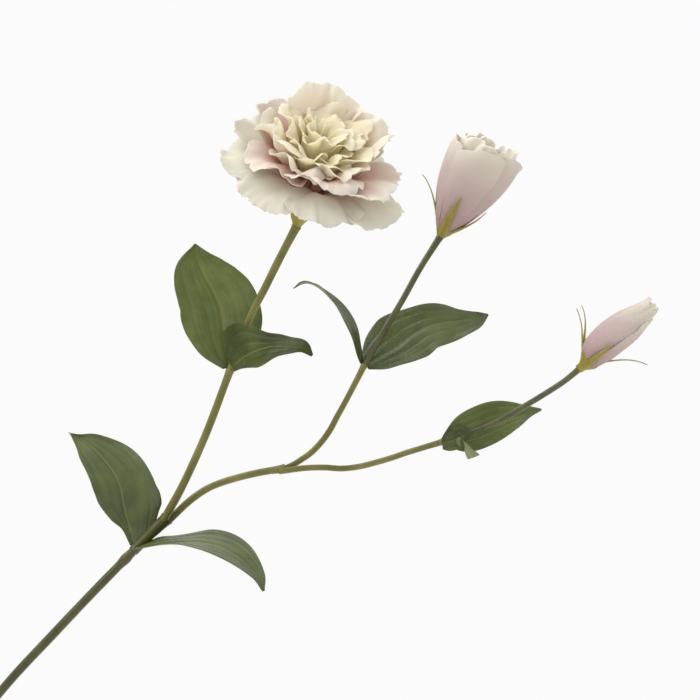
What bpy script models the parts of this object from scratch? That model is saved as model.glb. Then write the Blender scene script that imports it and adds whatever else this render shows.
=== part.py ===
"""Lisianthus spray standing in a narrow-necked bud vase.

Blender 4.5 script. Lengths in the tables are millimetres and are turned into metres when a
mesh is made. +Z is up, and the origin is the centre of the vase's flat foot. The spray
leans towards +X; -Y is its front.
"""

import math

import bpy
from mathutils import Matrix, Vector

MM = 0.001

# Driving dimensions, mm
GAP = 0.3
VASE_HEIGHT = 150.0
VASE_WALL = 4.5
VASE_FLOOR = 8.0
FOOT_RADIUS = 32.0
BELLY_RADIUS = 43.0
NECK_RADIUS = 15.5
LIP_RADIUS = 17.5
STEM_RADIUS = 2.1
LEAF_THICKNESS = 0.7
PETAL_THICKNESS = 0.45

# The main stem, from its cut foot inside the vase up to the first leaf pair
MAIN_ROUTE = [
    (-24.5, 0, 8.5), (-22.0, 0, 45), (-13.5, 0, 90), (-3.0, 0, 121), (10.0, 0, 151),
    (35.5, 0, 199), (70.5, 0, 242.5), (94, 0, 268), (112, 0, 287), (132, 0, 307.5),
]
SLEEVE_ROUTE = [(133, 0, 308.5), (139.5, 0, 315), (146.5, 0, 321.5)]

# Branches: name, route, radius at each end
BRANCHES = [
    ("open_flower_branch",
     [(146.3, -1.6, 322.9), (153, -2.5, 335), (160.2, -4, 350), (167, -5, 366), (176, -6, 390)],
     1.95, 1.8),
    ("open_flower_stalk",
     [(176, -6, 390), (185, -8, 413.5), (191.7, -10, 426.5), (198.5, -12, 440), (206.5, -14, 455)],
     1.65, 1.95),
    ("side_branch",
     [(147.8, 1.9, 320.9), (152.5, 2.5, 325.5), (157.5, 3, 330), (165, 4, 335), (174, 5, 338.5),
      (187.5, 5.5, 342), (200.5, 6, 344)],
     1.75, 1.7),
    ("half_open_branch",
     [(200.3, 7.9, 345.4), (207, 9, 347.5), (213.5, 10, 352), (220, 11.5, 359.5),
      (224.5, 13, 367.5), (230, 14.5, 377.5), (237.5, 16, 392)],
     1.5, 1.45),
    ("half_open_stalk",
     [(237.5, 16, 392), (248, 18, 410), (256, 20, 423.5), (263.5, 22, 437), (273, 24, 452)],
     1.45, 1.5),
    ("bud_branch",
     [(200.8, 4.4, 343.2), (209, 4, 344.3), (218, 3.5, 344.7), (231, 2, 344.5), (247, -1, 348.5),
      (257, -3.5, 352), (273.5, -7, 357.2)],
     1.45, 1.4),
    ("bud_stalk",
     [(273.5, -7, 357.2), (281.5, -8, 359.7), (296, -10, 365.5), (310, -12, 373.5),
      (326.5, -14.5, 384), (335.5, -16, 391.5)],
     1.35, 1.4),
]

# Leaves: name, midrib route, which way the upper face looks at base and tip,
# half width, how far the two halves fold up
LEAVES = [
    ("lower_left_leaf",
     [(130, 4, 311.5), (127, 5, 324), (124.5, 6, 336), (118, 8, 347), (109, 11, 355.5), (99.5, 15, 360)],
     (0.45, -0.85, 0.2), (0.2, -0.75, 0.6), 13.5, 0.25),
    ("lower_right_leaf",
     [(137.5, -4.5, 306.5), (147, -9.5, 310.5), (158, -14, 312.5), (170, -18, 311.5), (181, -23, 304),
      (190, -27, 290)],
     (-0.15, -0.4, 0.9), (0.7, -0.5, 0.5), 13.0, 0.2),
    ("upper_left_leaf",
     [(173.5, -1.5, 393), (171.5, 1, 404), (168.5, 3, 419), (164, 5, 433), (157.5, 8, 448.5)],
     (0.35, -0.9, 0.1), (0.25, -0.85, 0.4), 19.5, 0.18),
    ("upper_right_leaf",
     [(179, -10, 392), (184, -13.5, 398), (191.5, -18, 401.5), (201, -23, 402.5),
      (209, -27, 401.5), (213.5, -29, 397)],
     (-0.3, -0.7, 0.6), (-0.1, -0.75, 0.65), 11.5, 0.3),
    ("middle_left_leaf",
     [(234.7, 16, 395.5), (232, 16, 405.5), (227, 15, 416), (220.5, 14, 424.5),
      (213, 12, 430), (204.5, 10, 428)],
     (0.85, -0.25, 0.5), (0.45, -0.25, 0.85), 10.5, 0.2),
    ("middle_right_leaf",
     [(240.5, 19.8, 393.2), (252, 23, 401), (263.5, 25, 408), (277, 27, 413), (296, 29, 416)],
     (-0.35, -0.8, 0.5), (-0.2, -0.75, 0.65), 13.0, 0.18),
    ("bud_branch_back_leaf",
     [(276.5, -3.8, 358.5), (288, -3, 363), (299, -2.5, 367), (309, -2, 370), (318, -1, 371.5)],
     (0.1, -0.95, 0.3), (0.1, -0.9, 0.45), 9.0, 0.12),
    ("bud_branch_front_leaf",
     [(274, -10.4, 356.8), (277.5, -15, 357.8), (281.5, -18.5, 358), (285, -21, 354), (287, -21.5, 349)],
     (0.1, 0.7, 0.7), (0.9, 0.0, 0.35), 7.5, 0.3),
]

# Share of the half width along the leaf, from base to tip
LEAF_OUTLINE = [0.2, 0.62, 0.9, 1.0, 0.97, 0.82, 0.55, 0.03]

# Flower heads: where the calyx starts, lean to the right and towards the front in degrees
OPEN_FLOWER = ((206.8, -14.3, 455.6), 18, 32)
HALF_OPEN_FLOWER = ((273.3, 24.1, 452.6), 30, 6)
BUD = ((336.0, -16.2, 392.0), 51, 8)

# Petal whorls as Bezier profiles of (distance from the flower's axis, height on it), mm.
# Each whorl: name, petals, profile, first petal's direction in degrees, half width in
# degrees at base and middle, sideways tilt in mm that lets neighbours lap over each other
OPEN_WHORLS = [
    ("outer_petal", 6, [(3.6, 7.6), (16, 9), (21, 39), (42.5, 27)], 190, 22, 36, 0.9),
    ("second_petal", 5, [(3.4, 9.2), (14, 13), (18, 41), (37, 40)], 216, 26, 41, 0.9),
    ("third_petal", 5, [(3.4, 10.8), (11, 17), (19, 42), (27.5, 50)], 184, 26, 41, 0.9),
    ("inner_petal", 5, [(3.3, 12.4), (8, 20), (15.5, 38), (19.5, 54)], 214, 26, 40, 0.8),
    ("heart_petal", 4, [(3.3, 14), (5, 21), (9.5, 36), (10, 54)], 180, 32, 50, 0.7),
]
HALF_OPEN_WHORLS = [
    ("outer_petal", 5, [(2.8, 4.6), (8, 11), (19, 31), (16, 48)], 252, 28, 45, 1.0),
    ("inner_petal", 4, [(2.8, 7.0), (6, 13), (14, 32), (11.5, 50)], 215, 32, 54, 0.9),
]
BUD_WHORLS = [
    ("petal", 4, [(2.4, 4.0), (9.5, 6), (10, 23), (3.2, 44)], 250, 34, 55, 0.8),
]

# Calyx cups: sepal profiles as (distance from the axis, height on it), their directions
CALYX_CUP_HEIGHT = 6.0
SEPAL_BASE_HALF_WIDTH = 1.5
SEPAL_THICKNESS = 0.8
OPEN_SEPALS = [(1.6, 2.0), (6, 2.8), (10, 4.0), (13.5, 5.4)]
HALF_OPEN_SEPALS = [(1.4, 1.0), (9, 4), (14, 12), (18, 22)]
BUD_SEPALS = [(1.4, 1.0), (8, 2.4), (13, 8), (15.5, 23)]

# Colours, linear RGB, and roughness
CERAMIC = ("glazed stoneware", (0.76, 0.73, 0.67), 0.3)
STEM_GREEN = ("stem", (0.13, 0.125, 0.045), 0.5)
LEAF_GREEN = ("leaf", (0.1, 0.14, 0.055), 0.6)
CALYX_GREEN = ("calyx", (0.33, 0.28, 0.05), 0.5)
PETAL_CREAM = ("petal", (0.76, 0.69, 0.56), 0.8)
PETAL_BLUSH = ("blush petal", (0.68, 0.52, 0.47), 0.8)
PETAL_HEART = ("heart petal", (0.74, 0.66, 0.4), 0.8)


def clear_scene():
    for obj in list(bpy.data.objects):
        bpy.data.objects.remove(obj)


def material(look):
    name, colour, roughness = look
    found = bpy.data.materials.get(name)
    if found:
        return found
    made = bpy.data.materials.new(name)
    made.use_nodes = True
    shader = made.node_tree.nodes["Principled BSDF"]
    shader.inputs["Base Color"].default_value = (*colour, 1)
    shader.inputs["Roughness"].default_value = roughness
    return made


def add_object(name, data, look):
    obj = bpy.data.objects.new(name, data)
    obj.data.materials.append(material(look))
    bpy.context.scene.collection.objects.link(obj)
    return obj


def spline_point(points, share):
    """A point on the smooth curve (Catmull-Rom) through points, share from 0 to 1."""
    spans = len(points) - 1
    place = min(max(share, 0.0), 1.0) * spans
    i = min(int(place), spans - 1)
    t = place - i
    p1, p2 = Vector(points[i]), Vector(points[i + 1])
    p0 = Vector(points[i - 1]) if i > 0 else 2 * p1 - p2
    p3 = Vector(points[i + 2]) if i + 2 <= spans else 2 * p2 - p1
    return 0.5 * (
        2 * p1
        + (p2 - p0) * t
        + (2 * p0 - 5 * p1 + 4 * p2 - p3) * t**2
        + (3 * p1 - p0 - 3 * p2 + p3) * t**3
    )


def bezier(points, t):
    """A point on the cubic Bezier curve with these four control points."""
    p0, p1, p2, p3 = (Vector(p) for p in points)
    return (
        p0 * (1 - t) ** 3
        + p1 * (3 * t * (1 - t) ** 2)
        + p2 * (3 * t**2 * (1 - t))
        + p3 * t**3
    )


def smooth_step(t):
    t = min(max(t, 0.0), 1.0)
    return t * t * (3 - 2 * t)


def add_tube(name, route, start_radius, end_radius, look, spacing=7.0, sides=2):
    """A round stem along a route, its two ends cut half a gap short of the neighbour."""
    length = sum((Vector(b) - Vector(a)).length for a, b in zip(route, route[1:]))
    count = max(4, round(length / spacing))
    points = [spline_point(route, i / count) for i in range(count + 1)]
    first = (points[1] - points[0]).normalized()
    last = (points[-1] - points[-2]).normalized()
    points[0] = points[0] + first * GAP
    points[-1] = points[-1] - last * GAP
    curve = bpy.data.curves.new(name, "CURVE")
    curve.dimensions = "3D"
    curve.bevel_depth = MM
    curve.bevel_resolution = sides
    curve.use_fill_caps = True
    line = curve.splines.new("POLY")
    line.points.add(count)
    for i, point in enumerate(points):
        line.points[i].co = (*(point * MM), 1)
        line.points[i].radius = start_radius + (end_radius - start_radius) * i / count
    return add_object(name, curve, look)


def add_sheet(name, place, rows, columns, thickness, look):
    """A thin closed plate: place(u, v) gives its middle surface, u 0 to 1 and v -1 to 1."""
    grid = [
        place(i / rows, 2 * j / columns - 1) * MM
        for i in range(rows + 1)
        for j in range(columns + 1)
    ]
    across = columns + 1
    faces = [
        (a, a + 1, a + across + 1, a + across)
        for i in range(rows)
        for a in range(i * across, i * across + columns)
    ]
    mesh = bpy.data.meshes.new(name)
    mesh.from_pydata(grid, [], faces)
    mesh.shade_smooth()
    obj = add_object(name, mesh, look)
    shell = obj.modifiers.new("thickness", "SOLIDIFY")
    shell.thickness = thickness * MM
    shell.offset = 0
    return obj


def add_turned(name, profile, segments, look):
    """A body turned about +Z from a profile of (radius, height) that runs up the inside
    and down the outside, both ends on the axis."""
    mesh = bpy.data.meshes.new(name)
    points = [(radius * MM, 0, height * MM) for radius, height in profile]
    mesh.from_pydata(points, [(i, i + 1) for i in range(len(points) - 1)], [])
    obj = add_object(name, mesh, look)
    screw = obj.modifiers.new("turn", "SCREW")
    screw.steps = screw.render_steps = segments
    screw.use_merge_vertices = True
    screw.merge_threshold = 0.00001
    screw.use_smooth_shade = True
    return obj


def vase_outer_points():
    """The outside of the vase from foot to lip as (radius, height)."""
    return [
        (FOOT_RADIUS, 0), (FOOT_RADIUS + 5.5, 9), (BELLY_RADIUS - 1, 24), (BELLY_RADIUS, 40),
        (BELLY_RADIUS - 2.5, 58), (BELLY_RADIUS - 10, 76), (BELLY_RADIUS - 20, 95),
        (NECK_RADIUS + 1.2, 110), (NECK_RADIUS, 122), (NECK_RADIUS, 134),
        (LIP_RADIUS, VASE_HEIGHT - 2.0),
    ]


def build_vase():
    outer = [(0, 0), (FOOT_RADIUS - 1.2, 0), (FOOT_RADIUS, 1.2)] + vase_outer_points()[1:]
    lip_middle = LIP_RADIUS - VASE_WALL / 2
    lip = [(lip_middle + 1.2, VASE_HEIGHT - 0.2), (lip_middle - 1.2, VASE_HEIGHT - 0.2)]
    inner = [
        (radius - VASE_WALL, height)
        for radius, height in reversed(vase_outer_points())
        if height > VASE_FLOOR
    ]
    inner[-1] = (inner[-1][0] - 0.6, inner[-1][1] + 2.0)
    floor = [(FOOT_RADIUS - 7, VASE_FLOOR), (0, VASE_FLOOR)]
    down_the_inside = lip[1:] + inner + floor
    profile = list(reversed(down_the_inside)) + list(reversed(outer + lip[:1]))
    return add_turned("bud_vase", profile, 40, CERAMIC)


def leaf_place(route, base_face, tip_face, half_width, fold):
    """The leaf's middle surface: a midrib with two halves folded up towards its face."""
    outline = [(0, 0, share) for share in LEAF_OUTLINE]

    def place(u, v):
        middle = spline_point(route, u)
        along = spline_point(route, u + 0.02) - spline_point(route, u - 0.02)
        along.normalize()
        face = Vector(base_face).lerp(Vector(tip_face), u)
        face = (face - along * face.dot(along)).normalized()
        side = along.cross(face)
        width = half_width * spline_point(outline, u).z
        lift = fold * width * abs(v) * smooth_step(u * 6)
        return middle + side * (width * v) + face * lift

    return place


def build_leaves():
    for name, route, base_face, tip_face, half_width, fold in LEAVES:
        place = leaf_place(route, base_face, tip_face, half_width, fold)
        add_sheet(name, place, 8, 4, LEAF_THICKNESS, LEAF_GREEN)


def head_matrix(head):
    """Millimetre frame of a flower head: its own +Z runs up the flower's axis."""
    origin, right, forward = head
    turn = Matrix.Rotation(math.radians(right), 3, "Y") @ Matrix.Rotation(math.radians(forward), 3, "X")
    return Matrix.Translation(Vector(origin)) @ turn.to_4x4()


def petal_place(head, profile, direction, base_half, middle_half, tilt):
    """One petal of a whorl: the profile swept sideways, its far corners rounded off."""
    frame = head_matrix(head)

    def place(u, v):
        share = u * (1 - 0.16 * abs(v) ** 3)
        spot = bezier([(*p, 0) for p in profile], share)
        along = (bezier([(*p, 0) for p in profile], share + 0.01) - spot).normalized()
        half = base_half + (middle_half - base_half) * smooth_step(share * 2.2)
        angle = math.radians(direction + half * v)
        lean = tilt * v * smooth_step(share * 4)
        radius = spot.x - lean * along.y
        height = spot.y + lean * along.x
        return frame @ Vector((radius * math.cos(angle), radius * math.sin(angle), height))

    return place


def build_petals(head_name, head, whorls, look):
    for whorl, count, profile, first, base_half, middle_half, tilt in whorls:
        for i in range(count):
            direction = first + i * 360 / count
            place = petal_place(head, profile, direction, base_half, middle_half, tilt)
            name = f"{head_name}_{whorl}_{i + 1}"
            add_sheet(name, place, 6, 4, PETAL_THICKNESS, look)


def build_calyx(name, head, cup_radius, stud_radius, stud_height, sepal_profile, first, count):
    """A cup with a stud up its middle that carries the petals, and slender sepals."""
    frame = head_matrix(head)
    profile = [
        (0, stud_height), (stud_radius, stud_height), (stud_radius, CALYX_CUP_HEIGHT * 0.55),
        (cup_radius, CALYX_CUP_HEIGHT * 0.55), (cup_radius * 0.8, CALYX_CUP_HEIGHT * 0.3),
        (cup_radius * 0.5, 0.2), (0, 0.2),
    ]
    cup = add_turned(name, profile, 14, CALYX_GREEN)
    cup.matrix_world = Matrix.Scale(MM, 4) @ frame @ Matrix.Scale(1 / MM, 4)
    for i in range(count):
        direction = math.radians(first + i * 360 / count)

        def place(u, v):
            radius, height = bezier([(*p, 0) for p in sepal_profile], u).xy
            half = SEPAL_BASE_HALF_WIDTH * (1 - 0.85 * u)
            across = Vector((-math.sin(direction), math.cos(direction), 0)) * (half * v)
            outward = Vector((math.cos(direction), math.sin(direction), 0)) * radius
            return frame @ (outward + across + Vector((0, 0, height)))

        blade = add_sheet(f"{name}_sepal_{i}", place, 6, 1, SEPAL_THICKNESS, CALYX_GREEN)
        blade.hide_render = True
        blade.display_type = "WIRE"
        join = cup.modifiers.new(f"sepal {i}", "BOOLEAN")
        join.operation = "UNION"
        join.object = blade
    return cup


def build_heads():
    build_calyx("open_flower_calyx", OPEN_FLOWER, 4.4, 2.6, 20, OPEN_SEPALS, 235, 5)
    build_petals("open", OPEN_FLOWER, OPEN_WHORLS[:1], PETAL_CREAM)
    build_petals("open", OPEN_FLOWER, OPEN_WHORLS[1:3], PETAL_BLUSH)
    build_petals("open", OPEN_FLOWER, OPEN_WHORLS[3:], PETAL_HEART)
    build_calyx("half_open_flower_calyx", HALF_OPEN_FLOWER, 3.4, 2.0, 14, HALF_OPEN_SEPALS, 250, 5)
    build_petals("half_open", HALF_OPEN_FLOWER, HALF_OPEN_WHORLS, PETAL_BLUSH)
    build_calyx("bud_calyx", BUD, 3.0, 1.5, 12, BUD_SEPALS, 270, 5)
    build_petals("bud", BUD, BUD_WHORLS, PETAL_BLUSH)


def build_stems():
    add_tube("main_stem", MAIN_ROUTE, STEM_RADIUS + 0.1, STEM_RADIUS, STEM_GREEN, 11.0)
    add_tube("fork_sleeve", SLEEVE_ROUTE, 2.6, 3.1, STEM_GREEN)
    for name, route, start_radius, end_radius in BRANCHES:
        add_tube(name, route, start_radius, end_radius, STEM_GREEN)


def main():
    clear_scene()
    build_vase()
    build_stems()
    build_leaves()
    build_heads()


main()
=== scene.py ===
import math

import bpy
from mathutils import Matrix, Vector, noise


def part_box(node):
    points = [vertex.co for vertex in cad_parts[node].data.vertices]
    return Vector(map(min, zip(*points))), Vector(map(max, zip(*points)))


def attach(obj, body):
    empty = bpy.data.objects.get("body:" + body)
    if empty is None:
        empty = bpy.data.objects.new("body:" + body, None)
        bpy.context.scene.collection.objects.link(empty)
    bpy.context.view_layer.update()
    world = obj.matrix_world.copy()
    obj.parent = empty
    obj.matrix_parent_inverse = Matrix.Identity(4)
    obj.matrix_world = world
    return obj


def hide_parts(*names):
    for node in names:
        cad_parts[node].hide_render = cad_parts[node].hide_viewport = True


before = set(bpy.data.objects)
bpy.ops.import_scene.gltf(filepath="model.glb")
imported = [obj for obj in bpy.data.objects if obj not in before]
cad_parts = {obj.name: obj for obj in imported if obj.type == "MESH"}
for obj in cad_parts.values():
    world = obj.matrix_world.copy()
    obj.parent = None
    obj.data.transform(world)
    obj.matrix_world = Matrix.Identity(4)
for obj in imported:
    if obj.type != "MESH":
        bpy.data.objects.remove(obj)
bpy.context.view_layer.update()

# A piece's lengths are in millimetres and become metres as its mesh is made. A material's
# patterns are in metres.
mm = 0.001
noise.seed_set(8)  # the creases come out the same on each run


def toLinear(hexColour):
    parts = [int(hexColour[i:i + 2], 16) / 255 for i in (1, 3, 5)]
    return [c / 12.92 if c <= 0.04045 else ((c + 0.055) / 1.055) ** 2.4 for c in parts] + [1.0]


def smoothStep(t):
    t = min(max(t, 0.0), 1.0)
    return t * t * (3 - 2 * t)


def bell(distance, width):  # 1 in the middle, about 0 past twice the width
    return math.exp(-((distance / width) ** 2))


def curvePoint(points, share):  # on the smooth curve through the points, share 0 to 1
    spans = len(points) - 1
    place = min(max(share, 0.0), 1.0) * spans
    i = min(int(place), spans - 1)
    t = place - i
    p1, p2 = Vector(points[i]), Vector(points[i + 1])
    p0 = Vector(points[i - 1]) if i > 0 else 2 * p1 - p2
    p3 = Vector(points[i + 2]) if i + 2 <= spans else 2 * p2 - p1
    return 0.5 * (2 * p1 + (p2 - p0) * t + (2 * p0 - 5 * p1 + 4 * p2 - p3) * t ** 2
                  + (3 * p1 - p0 - 3 * p2 + p3) * t ** 3)


def handlePoint(points, t):  # on the Bezier curve with these four handles, and its direction
    p0, p1, p2, p3 = (Vector(p) for p in points)
    s = 1 - t
    point = p0 * s ** 3 + p1 * (3 * t * s ** 2) + p2 * (3 * t ** 2 * s) + p3 * t ** 3
    along = (p1 - p0) * s ** 2 + (p2 - p1) * (2 * t * s) + (p3 - p2) * t ** 2
    return point, along.normalized()


def wobble(x, y, seed):  # smooth noise from -1 to 1, the same on each run
    return noise.noise(Vector((x, y, seed * 7.31)))


def turnedPoints(profile, sides, ribs, ribHeight):
    points, uvs = [], []
    for i, (radius, height) in enumerate(profile):
        for k in range(sides):
            angle = 2 * math.pi * k / sides
            reach = radius * (1 + ribHeight * math.cos(ribs * angle))
            points.append(Vector((reach * math.cos(angle), reach * math.sin(angle), height)))
            uvs.append((k / sides, i / len(profile)))
    return points, uvs


def ringFaces(rings, sides, offset=0):
    faces = [(offset + i * sides + k, offset + i * sides + (k + 1) % sides,
              offset + (i + 1) * sides + (k + 1) % sides, offset + (i + 1) * sides + k)
             for i in range(rings - 1) for k in range(sides)]
    faces.append(tuple(offset + k for k in range(sides - 1, -1, -1)))
    faces.append(tuple(offset + (rings - 1) * sides + k for k in range(sides)))
    return faces


def makeObject(name, points, faces, uvs, looks, node, slotName):
    mesh = bpy.data.meshes.new(name)
    mesh.from_pydata([Vector(p) * mm for p in points], [], faces)
    layer = mesh.uv_layers.new(name="sheet")
    for loop in mesh.loops:
        layer.data[loop.index].uv = uvs[loop.vertex_index]
    for look in looks:
        mesh.materials.append(look)
    mesh.shade_smooth()
    piece = bpy.data.objects.new(name, mesh)
    bpy.context.scene.collection.objects.link(piece)
    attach(piece, "root")
    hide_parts(node)
    return piece


# A thin closed sheet. place(u, v) is its middle surface: u from base 0 to tip 1, v -1 to 1 across.
def makeSheet(name, place, rows, columns, thickness, looks, node, slotName):
    points, uvs = [], []
    for i in range(rows + 1):
        for j in range(columns + 1):
            u, v = i / rows, 2 * j / columns - 1
            points.append(place(u, v))
            uvs.append((j / columns, u))
    across = columns + 1
    faces = [(a, a + 1, a + across + 1, a + across)
             for i in range(rows) for a in range(i * across, i * across + columns)]
    piece = makeObject(name, points, faces, uvs, looks, node, slotName)
    shell = piece.modifiers.new("thickness", "SOLIDIFY")
    shell.thickness = thickness * mm
    shell.offset = 0
    shell.use_even_offset = False
    shell.material_offset = len(looks) - 1


def addNode(tree, kind, inputs=None, stops=None, **settings):
    node = tree.nodes.new(kind)
    for name, value in settings.items():
        setattr(node, name, value)
    for i, (place, colour) in enumerate(stops or []):
        ramp = node.color_ramp.elements
        stop = ramp[i] if i < 2 else ramp.new(place)
        stop.position = place
        stop.color = toLinear(colour)
    for name, value in (inputs or {}).items():
        if isinstance(value, bpy.types.NodeSocket):
            tree.links.new(value, node.inputs[name])
        else:
            node.inputs[name].default_value = value
    return node


def newMaterial(name, **values):
    look = bpy.data.materials.new(name)
    look.use_nodes = True
    tree = look.node_tree
    shader = tree.nodes["Principled BSDF"]
    for socket, value in values.items():
        shader.inputs[socket.replace("_", " ")].default_value = value
    return look, tree, shader


def linkLook(tree, shader, colour=None, roughness=None, normal=None):
    for name, socket in (("Base Color", colour), ("Roughness", roughness), ("Normal", normal)):
        if socket is not None:
            tree.links.new(socket, shader.inputs[name])


# Petal cloth: woven polyester, dyed, stiffened and hot-pressed. Matt, with some light coming
# through it, rose at the claw and cream at the rim.
def petalCloth(name, stops, through=0.4):
    look, tree, shader = newMaterial(name, Roughness=0.8, IOR=1.45, Specular_IOR_Level=0.25)
    place = addNode(tree, "ShaderNodeTexCoord")
    split = addNode(tree, "ShaderNodeSeparateXYZ", {"Vector": place.outputs["UV"]})
    cloud = addNode(tree, "ShaderNodeTexNoise",  # dye clouds about 12 mm wide
                    {"Vector": place.outputs["Object"], "Scale": 1 / 0.012, "Detail": 4.0})
    drift = addNode(tree, "ShaderNodeMath", {0: cloud.outputs["Fac"], 1: 0.3}, operation="MULTIPLY")
    reach = addNode(tree, "ShaderNodeMath", {0: split.outputs["Y"], 1: drift.outputs[0]},
                    operation="ADD")
    level = addNode(tree, "ShaderNodeMath", {0: reach.outputs[0], 1: 0.15}, operation="SUBTRACT")
    dye = addNode(tree, "ShaderNodeValToRGB", {"Fac": level.outputs[0]}, stops)
    spread = addNode(tree, "ShaderNodeMapping",  # pressed veins run from claw to rim
                     {"Vector": place.outputs["UV"], "Scale": (22, 2.5, 1)})
    vein = addNode(tree, "ShaderNodeTexNoise", {"Vector": spread.outputs[0], "Scale": 1.0,
                                                "Detail": 3.0})
    # threads lie 0.25 mm apart; drawn 0.7 mm apart so that they show
    weave = addNode(tree, "ShaderNodeTexNoise",
                    {"Vector": place.outputs["Object"], "Scale": 1 / 0.0007, "Detail": 2.0})
    pressed = addNode(tree, "ShaderNodeBump",
                      {"Height": vein.outputs["Fac"], "Strength": 0.25, "Distance": 0.0006})
    woven = addNode(tree, "ShaderNodeBump",
                    {"Height": weave.outputs["Fac"], "Strength": 0.12, "Distance": 0.0001,
                     "Normal": pressed.outputs["Normal"]})
    linkLook(tree, shader, dye.outputs["Color"], None, woven.outputs["Normal"])
    behind = addNode(tree, "ShaderNodeBsdfTranslucent", {"Color": dye.outputs["Color"]})
    both = addNode(tree, "ShaderNodeMixShader", {0: through, 1: shader.outputs[0],
                                                 2: behind.outputs[0]})
    tree.links.new(both.outputs[0], tree.nodes["Material Output"].inputs["Surface"])
    return look


# Leaf cloth: woven polyester with a latex coat, printed green and pressed in a veined mould.
# The coat gives a satin sheen along the ribs; the back is paler and duller.
def leafCloth(name, dark, light, vein, roughness, gloss):
    look, tree, shader = newMaterial(name, IOR=1.46, Specular_IOR_Level=gloss)
    place = addNode(tree, "ShaderNodeTexCoord")
    split = addNode(tree, "ShaderNodeSeparateXYZ", {"Vector": place.outputs["UV"]})
    cloud = addNode(tree, "ShaderNodeTexNoise",  # blotches about 14 mm wide
                    {"Vector": place.outputs["Object"], "Scale": 1 / 0.014, "Detail": 5.0,
                     "Roughness": 0.6})
    greens = addNode(tree, "ShaderNodeValToRGB", {"Fac": cloud.outputs["Fac"]},
                     [(0.32, dark), (0.7, light)])
    offset = addNode(tree, "ShaderNodeMath", {0: split.outputs["X"], 1: 0.5}, operation="SUBTRACT")
    apart = addNode(tree, "ShaderNodeMath", {0: offset.outputs[0]}, operation="ABSOLUTE")
    line = addNode(tree, "ShaderNodeMapRange", {"Value": apart.outputs[0], "From Max": 0.03,
                                                "To Min": 0.4, "To Max": 0.0})
    veined = addNode(tree, "ShaderNodeMix", {"Factor": line.outputs[0], 6: greens.outputs["Color"],
                                             7: toLinear(vein)}, data_type="RGBA")
    spread = addNode(tree, "ShaderNodeMapping",  # fine veins run from base to tip
                     {"Vector": place.outputs["UV"], "Scale": (28, 2.0, 1)})
    fine = addNode(tree, "ShaderNodeTexNoise", {"Vector": spread.outputs[0], "Scale": 1.0,
                                                "Detail": 3.0})
    # threads lie 0.3 mm apart; drawn 0.8 mm apart so that they show
    weave = addNode(tree, "ShaderNodeTexNoise",
                    {"Vector": place.outputs["Object"], "Scale": 1 / 0.0008, "Detail": 2.0})
    rough = addNode(tree, "ShaderNodeMapRange",
                    {"Value": cloud.outputs["Fac"], "To Min": roughness - 0.08,
                     "To Max": roughness + 0.1})
    pressed = addNode(tree, "ShaderNodeBump",
                      {"Height": fine.outputs["Fac"], "Strength": 0.35, "Distance": 0.0008})
    woven = addNode(tree, "ShaderNodeBump",
                    {"Height": weave.outputs["Fac"], "Strength": 0.15, "Distance": 0.0001,
                     "Normal": pressed.outputs["Normal"]})
    linkLook(tree, shader, veined.outputs[2], rough.outputs[0], woven.outputs["Normal"])
    return look


# Polyethylene: injection-moulded over wire. Waxy, with a soft highlight down each side and
# drawn-out streaks where two greens met in the mould.
def mouldedPolyethylene(name, stops, roughness=0.28):
    look, tree, shader = newMaterial(name, IOR=1.51, Coat_Weight=0.12, Coat_Roughness=0.1,
                                     Specular_IOR_Level=0.25)
    place = addNode(tree, "ShaderNodeTexCoord")
    drawn = addNode(tree, "ShaderNodeMapping", {"Vector": place.outputs["Object"],
                                                "Scale": (1.0, 1.0, 0.6)})
    streaks = addNode(tree, "ShaderNodeTexNoise",  # about 12 mm wide and 20 mm long
                      {"Vector": drawn.outputs[0], "Scale": 1 / 0.012, "Detail": 2.0})
    colour = addNode(tree, "ShaderNodeValToRGB", {"Fac": streaks.outputs["Fac"]}, stops)
    grain = addNode(tree, "ShaderNodeTexNoise",
                    {"Vector": place.outputs["Object"], "Scale": 1 / 0.002, "Detail": 3.0})
    rough = addNode(tree, "ShaderNodeMapRange",
                    {"Value": streaks.outputs["Fac"], "To Min": roughness - 0.08,
                     "To Max": roughness + 0.12})
    bumped = addNode(tree, "ShaderNodeBump",
                     {"Height": grain.outputs["Fac"], "Strength": 0.05, "Distance": 0.0001})
    linkLook(tree, shader, colour.outputs["Color"], rough.outputs[0], bumped.outputs["Normal"])
    return look


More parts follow.
